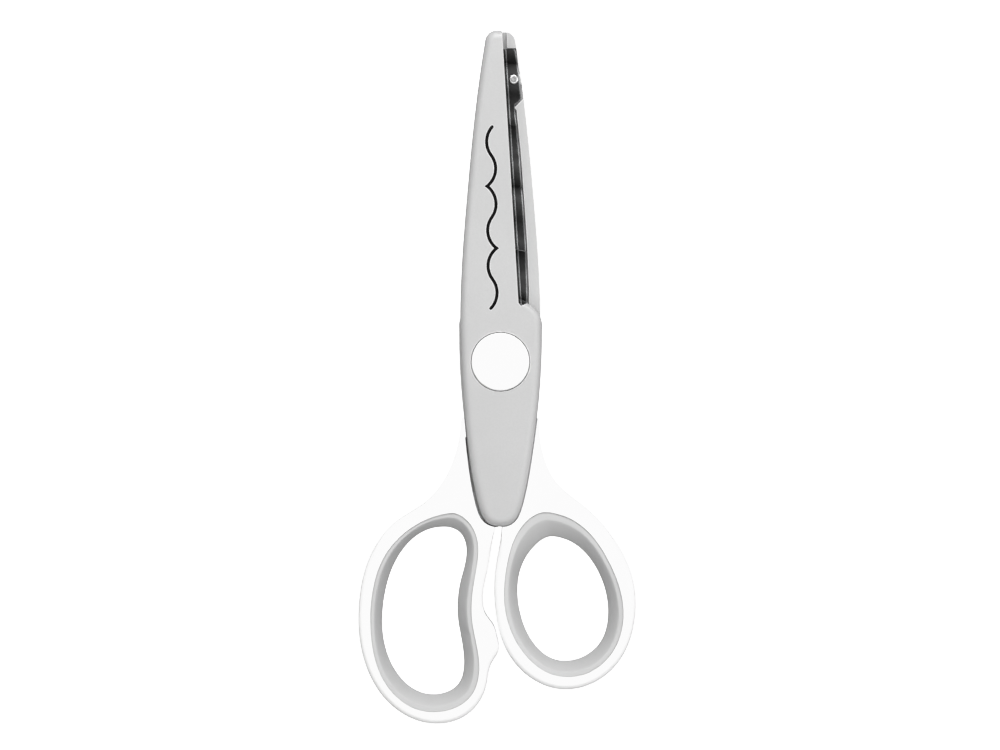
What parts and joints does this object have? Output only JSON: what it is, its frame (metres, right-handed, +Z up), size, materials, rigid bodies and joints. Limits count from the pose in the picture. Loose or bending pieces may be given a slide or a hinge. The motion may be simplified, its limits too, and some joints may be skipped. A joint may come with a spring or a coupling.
{
  "type": "decorative edge scissors",
  "caption": "Paper scissors with nested wave-shaped blades under long plastic covers, a finger loop and a thumb loop with soft liners.",
  "frame": {"origin": "on the pivot axis, in the plane that the closed scissors rest on, at the centre of the rear pivot cap's outer face", "axes": "+Y towards the tips, +Z up through the pivot from the rear half to the front half, +X to the thumb loop's side"},
  "size_m": [0.0662, 0.1651, 0.011],
  "materials": {
    "cover_plastic": "light grey satin moulded plastic",
    "handle_plastic": "white moulded plastic with a soft gloss",
    "grip_rubber": "mid grey soft-touch rubber",
    "blade_steel": "ground stainless steel",
    "rivet_steel": "bright steel",
    "fastener_steel": "zinc plated steel",
    "print_ink": "black printed ink",
    "bush_brass": "plain brass"
  },
  "bodies": {
    "rear_half": {"rear_cover": "cover_plastic", "rear_blade": "blade_steel", "rear_tip_rivet": "rivet_steel", "rear_tang_rivets": "rivet_steel", "finger_handle": "handle_plastic", "finger_grip": "grip_rubber", "rear_pivot_cap": "handle_plastic", "pivot_screw": "fastener_steel", "pivot_nut": "fastener_steel", "plain_washer": "fastener_steel", "spring_washer": "fastener_steel"},
    "front_half": {"front_cover": "cover_plastic", "wave_print": "print_ink", "front_blade": "blade_steel", "front_tip_rivet": "rivet_steel", "front_tang_rivets": "rivet_steel", "thumb_handle": "handle_plastic", "thumb_grip": "grip_rubber", "front_pivot_cap": "handle_plastic", "pivot_bush": "bush_brass"}
  },
  "joints": [
    {"name": "blade_pivot", "type": "hinge", "parent": "rear_half", "child": "front_half", "pos_m": [0, 0, 0.0055], "axis": [0, 0, 1], "range_deg": [0, 50]}
  ]
}
